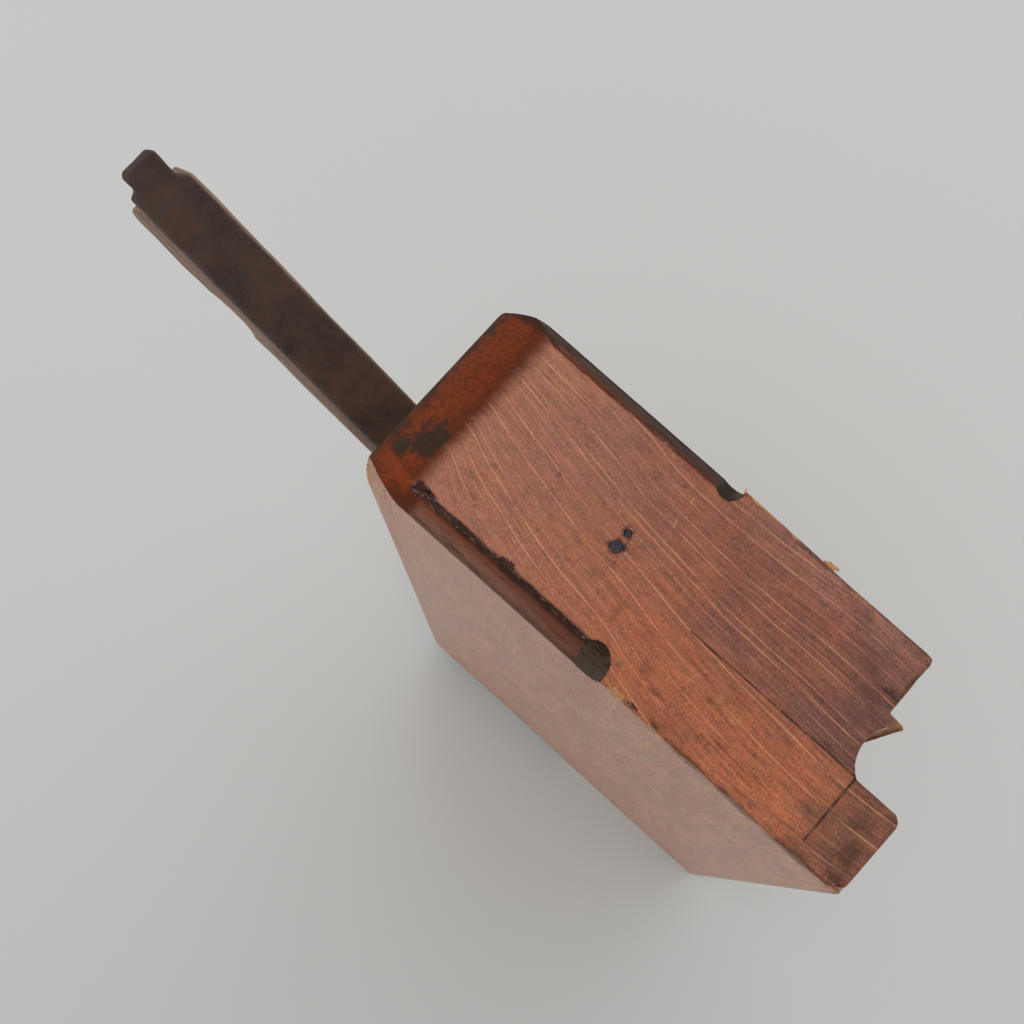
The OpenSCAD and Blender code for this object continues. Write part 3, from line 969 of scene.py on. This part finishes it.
# %% Stock: knocks and ripple
knocks = [
    # across, height, below the heel, reach across, up and down, depth, how torn (under 0: fresh)
    (3.2, 77.4, 0.4, 1.3, 1.6, 2.2, 0.75, 0.9), (3.4, 75.4, 0.4, 0.9, 1.4, 1.6, 0.6, 0.9),
    (2.8, 73.6, 0.6, 0.6, 1.3, 1.5, 0.5, 0.9), (3.0, 71.0, 0.3, 0.5, 2.2, 1.4, 0.45, 0.9),
    (3.0, 67.5, 0.3, 0.45, 2.6, 1.2, 0.45, 0.9), (2.9, 64.2, 0.3, 0.4, 1.7, 1.0, 0.4, 0.85),
    (3.7, 61.7, 0.0, 0.7, 1.8, 1.0, 0.28, 0.7), (3.2, 57.5, 0.3, 0.35, 2.6, 1.0, 0.3, 0.8),
    (3.2, 52.0, 0.3, 0.35, 3.4, 1.0, 0.3, 0.8), (3.2, 48.4, 0.2, 0.3, 1.4, 0.9, 0.2, 0.8),
    (0.3, 39.3, 0.6, 0.9, 1.7, 1.6, 0.4, -1.0), (0.5, 36.6, 0.2, 0.5, 1.3, 1.0, 0.2, 0.5),
    (0.6, 32.5, 0.1, 0.9, 1.1, 1.2, 0.5, 0.0), (0.0, 26.0, 0.0, 0.5, 2.0, 1.4, 0.25, 0.2),
    (0.0, 18.0, 0.0, 0.4, 3.0, 1.4, 0.2, 0.0), (0.0, 7.0, 0.0, 0.5, 2.4, 1.2, 0.25, 0.2),
    (1.0, 0.6, 0.0, 1.3, 0.8, 1.0, 0.3, 0.0), (12.6, 0.6, 0.0, 0.9, 0.9, 1.0, 0.25, 0.0),
    (32.4, 40.5, 0.3, 0.45, 3.6, 1.2, 0.05, -0.8), (32.4, 35.5, 0.3, 0.4, 2.0, 1.0, 0.05, -0.7),
    (31.6, 75.4, 0.8, 0.8, 1.4, 1.5, 0.3, 0.2), (30.6, 57.0, 1.0, 0.5, 3.0, 1.5, 0.2, 0.2),
    (28.0, 78.0, 1.0, 3.0, 0.9, 1.0, 0.15, 0.0), (15.3, 56.9, 0.0, 0.8, 0.7, 0.8, 0.2, 0.0),
    (13.6, 13.6, 0.0, 0.7, 0.9, 0.8, 0.15, 0.0), (4.0, 27.0, 0.0, 0.6, 0.5, 0.8, 0.15, 0.0),
    (32.4, 10.4, 0.0, 1.5, 1.5, 1.6, 0.4, 0.0), (0.1, 0.1, 0.0, 2.0, 1.9, 1.8, 0.8, 0.0),
    (24.5, 12.0, 0.0, 0.25, 1.6, 0.8, 0.15, 0.0), (29.0, 10.4, 0.0, 3.0, 0.6, 1.0, 0.15, 0.0),
]
stock.normal_update()
broken = stock.verts.layers.float.new("broken")
heel_points = [v for v in stock.verts if v.co.z > zone_z + 0.2 * MM]
outward = {v: v.normal.copy() for v in heel_points}


def knock(across, height, below, reach_across, reach_up, reach_down, depth, broken_share):
    """Press the heel's points in round a centre, deepest in the middle."""
    middle = place(across, height, heel_z - below)
    size = Vector((reach_up, reach_across, reach_down)) * MM
    for v in heel_points:
        off = v.co - middle
        if abs(off.x) > 1.6 * size.x or abs(off.y) > 1.6 * size.y or abs(off.z) > 1.6 * size.z:
            continue
        away = math.sqrt(sum((off[i] / size[i]) ** 2 for i in range(3)))
        away += 0.45 * noise.noise(v.co * 900)
        if away < 1:
            share = (1 - away * away) ** 1.5
            v.co -= outward[v] * (depth * MM * share * (1 + 0.5 * noise.noise(v.co * 2300)))
            shown = broken_share * min(1, 2.2 * share)
            v[broken] = shown if abs(shown) > abs(v[broken]) else v[broken]


def rub_sides_in(v, fade):
    """Narrow the heel a little at its lower right, and at both top corners."""
    height, across = v.co.x / MM - fence_bottom, left_side - v.co.y / MM
    up_slope = max(0.0, (height - (body_h - top_drop) - 1.5) / top_drop)
    corner_in = 2.9 * up_slope ** 1.6
    left_in = 3.7 * up_slope ** 1.5
    low_in = 0.45 * (1 - clamp((height - 26) / 16))
    room_left, room_right = left_in * fade, max(corner_in, low_in) * fade
    if across < room_left:
        v.co.y = (left_side - room_left) * MM
    elif body_w - across < room_right:
        v.co.y = (left_side - body_w + room_right) * MM


for v in heel_points:
    fade = min(1, (v.co.z - zone_z) / (2 * MM))
    slope_fade = min(1, (v.co.z - zone_z) / (5 * MM))
    ripple = 0.5 + 0.5 * noise.fractal(v.co * 420, 0.8, 2.0, 3)
    at_corner = min(1 - max(abs(c) for c in outward[v]), 0.25) / 0.25
    v.co -= outward[v] * (fade * MM * ripple * (0.035 + 0.11 * at_corner))
    rub_sides_in(v, slope_fade)
for row in knocks:
    knock(*row)
piece(stock, "stock_worn", "beech", "stock", ["stock"])

# %% [markdown]
# Two bits of wood stand off the right corner of the heel: a curled flake and a thin splinter.
# Each is a small block, tapered to its tip, curled, and roughened by noise.

# %% Flake and splinter
def sliver(name, root, tip, width, thick, seed):
    """A tapered bit of torn wood from root to tip."""
    mesh = bmesh.new()
    bmesh.ops.create_cube(mesh, size=1.0)
    long_way = [e for e in mesh.edges if abs(e.verts[0].co.z - e.verts[1].co.z) > 0.5]
    bmesh.ops.subdivide_edges(mesh, edges=long_way, cuts=7)
    axis = tip - root
    frame_turn = axis.to_track_quat("Z", "Y")
    for v in mesh.verts:
        share = v.co.z + 0.5
        taper = 1 - 0.85 * share ** 1.5
        rough = 1 + 0.5 * noise.noise(Vector((share * 4, v.co.x * 3 + seed, v.co.y * 3)))
        curl = Vector((0, 0.35 * width * math.sin(share * 2.4), 0))
        local = Vector((v.co.x * width * taper * rough, v.co.y * thick * taper * rough, 0)) + curl
        v.co = root + axis * share + frame_turn @ local
    bmesh.ops.bevel(
        mesh, geom=mesh.edges[:], offset=thick * 0.12, offset_type="OFFSET", affect="EDGES",
        segments=1, profile=0.5, material=-1,
    )
    layer = mesh.verts.layers.float.new("broken")
    for v in mesh.verts:
        v[layer] = -1.5
    piece(mesh, name, "beech", "stock")


sliver("flake", place(32.1, 30.1, heel_z - 0.6), place(32.9, 28.0, heel_z - 0.9),
       1.1 * MM, 0.5 * MM, 3.0)
sliver("splinter", place(32.1, 44.1, heel_z - 0.4), place(32.95, 44.5, heel_z - 0.5),
       0.34 * MM, 0.2 * MM, 8.0)

# %% [markdown]
# ## The slips
#
# The slip carries the sharp quirk, the first thing on the sole to wear. Its tip is rounded over
# and a little ragged, while its joint faces stay true.

# %% Boxwood slips
def slip(node):
    mesh = merged_copy(node)
    sides = (left_side - groove_left, left_side - groove_right)
    # The joint's faces go this far into the groove's, so that no crack shows
    joint_overlap = 0.035
    # Under this height the tip is worn
    worn_under = 10.3

    def off_joint(edge):
        middle = (edge.verts[0].co + edge.verts[1].co) / (2 * MM)
        beside = min(abs(middle.y - side) for side in sides) < 0.05
        return not beside and middle.x - fence_bottom <= profile_top

    ease(mesh, 0.25, off_joint)
    low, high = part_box(node)
    cut(mesh, whole(mesh), ALONG_Z, spread(low.z / MM + 1.0, high.z / MM - 0.6, 60))
    mesh.normal_update()
    for v in mesh.verts:
        height = v.co.x / MM - fence_bottom
        if height < worn_under:
            tip = min(1.0, (worn_under - height) / 2.5)
            ragged = 0.5 + 0.5 * noise.fractal(v.co * Vector((500, 500, 160)), 0.8, 2.0, 2)
            v.co -= v.normal * (0.12 * MM * tip * ragged)
            bend = max(0.0, (worn_under - 1.0 - height) / 1.5)
            furthest = quirk_tip - (0.35 + 0.35 * ragged) * bend ** 2
            v.co.y = max(v.co.y, (left_side - furthest) * MM)
        for side in sides:
            if abs(v.co.y / MM - side) < 0.06 and height > 10.5:
                v.co.y += math.copysign(joint_overlap, side - sum(sides) / 2) * MM
        if height > groove_top - 0.1:
            v.co.x += joint_overlap * MM
    piece(mesh, node + "_worn", "boxwood", "stock", [node])


slip("slip_toe")
slip("slip_heel")

# %% [markdown]
# ## The iron and the wedge
#
# Both lie along the bed. The iron was forged and has been hammered out and back for a century, so
# it has no true corner left, and rust has eaten its skin. The wedge's head is bruised in the same
# way, but where the two meet they stay flat. Each is cut into rings along the bed. A slow noise
# pushes the skin in for the hammering, and a quick one for the pits.

# %% Iron and wedge
off_bed = Vector((up_bed.z, 0, -up_bed.x))
bed_foot = Vector((fence_bottom, 0, 81.5)) * MM
# The iron and the wedge meet where a normal has more than this share along off_bed
flat_share = 0.7


def up_from_foot(point):
    """Millimetres up the bed."""
    return (point - bed_foot).dot(up_bed) / MM


def cut_on_bed(mesh, start, end, gap, node, rim, count):
    """Cut rings every gap millimetres up the bed, and a few planes along it."""
    rings = [start + i * gap for i in range(int((end - start) / gap) + 1)]
    cut(mesh, whole(mesh), up_bed, rings, bed_foot)
    low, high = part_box(node)
    stations = spread(low.y / MM + rim, high.y / MM - rim, count)
    cut(mesh, whole(mesh), ALONG_Y, stations, bed_foot)


iron = merged_copy("iron")
ease(iron, 0.45, lambda edge: up_from_foot(edge.verts[0].co) > 20)
cut_on_bed(iron, 16, 190.5, 1.1, "iron", 0.5, 12)
cut(iron, whole(iron), off_bed, (1.0, 2.0), bed_foot)
iron.normal_update()
ground = iron.verts.layers.float.new("ground")
for v in iron.verts:
    up = up_from_foot(v.co)
    hammered = 0.5 + 0.5 * noise.fractal(v.co * 160, 0.8, 2.0, 2)
    pitted = max(0.0, noise.fractal(v.co * 800, 0.7, 2.0, 2))
    clean = clamp((up - 16) / 8)
    near_head = clamp((up - 180) / 6)
    if v.normal.dot(off_bed) > flat_share:
        clean *= 0.3
    worn = 0.10 * hammered + 0.10 * pitted + 0.22 * near_head * hammered
    v.co -= v.normal * (MM * clean * worn)
    v[ground] = 1 - clamp((up - 16) / 5)
piece(iron, "iron_rusted", "rusted_iron", "iron", ["iron"], 40)

wedge = merged_copy("wedge")
ease(wedge, 0.55)
cut_on_bed(wedge, 42, 182, 1.6, "wedge", 0.8, 8)
wedge.normal_update()
for v in wedge.verts:
    head = clamp((up_from_foot(v.co) - 135) / 10)
    dents = 0.5 + 0.5 * noise.fractal(v.co * 130, 0.8, 2.0, 3)
    if v.normal.dot(off_bed) > -flat_share:
        v.co -= v.normal * (MM * dents * (0.05 + 0.25 * head))
piece(wedge, "wedge_worn", "wedge_wood", "wedge", ["wedge"])

# %% [markdown]
# ## The brads
#
# Two brads were broken off in the heel. What shows is a rough stub a hair below the wood, so the
# top of each is inset and pushed down.

# %% Brads
def brad(node):
    mesh = merged_copy(node)
    mesh.faces.ensure_lookup_table()
    top = max(mesh.faces, key=lambda f: f.calc_center_median().z)
    low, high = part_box(node)
    radius = (high.x - low.x) / 2
    bmesh.ops.inset_region(mesh, faces=[top], thickness=radius * 0.35, depth=-0.03 * MM)
    bmesh.ops.inset_region(mesh, faces=[top], thickness=radius * 0.3, depth=0.0)
    bmesh.ops.poke(mesh, faces=[top])
    for v in mesh.verts:
        if v.co.z > high.z - 0.5 * MM:
            v.co.z -= MM * (0.05 + 0.08 * noise.noise(v.co * 1300))
    piece(mesh, node + "_stub", "brad_iron", "stock", [node])


brad("brad_large")
brad("brad_small")

# %% [markdown]
# ## Floor and light
#
# The plane stands on a plain pale floor, and the photograph's background is that floor seen from
# above. One large soft lamp stands high on the plane's right, with an even pale sky around it, so
# the left side is in gentle shade and the plane's shadow darkens the floor round the toe. The
# floor's colour also holds a painted shade: it is darker towards the plane's left and its fence.
# The levels are set so that a colour renders about as it is written.

# %% Floor, lamp and sky
g, where = new_material("floor")
x, y = g.parts(where)[:2]
# Painted shade: the floor is darker towards minus X and plus Y, a fall-off of light painted in
away = x * -0.66 + y * 0.73
color = g.mix(g.step(away, -0.07, 0.17), (0.565, 0.57, 0.56), (0.50, 0.507, 0.50))
finish_with(g, color, 0.85, 0.0, 0.0, specular=0.2)
mesh = bmesh.new()
bmesh.ops.create_grid(mesh, x_segments=1, y_segments=1, size=6.0)
dressed(mesh, "floor", "floor")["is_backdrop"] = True

lamp_data = bpy.data.lights.new("softbox", "AREA")
lamp_data.shape, lamp_data.size, lamp_data.energy = "SQUARE", 1.3, 4.5
lamp = add_object("softbox", lamp_data)
lamp.location = Vector((0.45, -0.95, 1.35))
lamp_way = Vector((0.0, 0.0, 0.1)) - lamp.location
lamp.rotation_euler = lamp_way.to_track_quat("-Z", "Y").to_euler()

world = bpy.data.worlds.new("sky")
bpy.context.scene.world = world
world.use_nodes = True
world.node_tree.nodes["Background"].inputs["Color"].default_value = (0.91, 0.91, 0.905, 1)
world.node_tree.nodes["Background"].inputs["Strength"].default_value = 1.0
bpy.context.scene.view_settings.view_transform = "Standard"
print("floor, lamp and sky set")

# %% [markdown]
# ## The two boxes
#
# The flake and the splinter stand half a millimetre out of the solid model's box, and the end
# grain and a brad 0.03 mm at most. All else stays inside it. Both boxes are written down.

# %% Write the two boxes and finish
visual_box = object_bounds()
for name, box in (("cad", cad_box), ("visual", visual_box)):
    print(name, [round((b - a) / MM, 2) for a, b in zip(*box)])
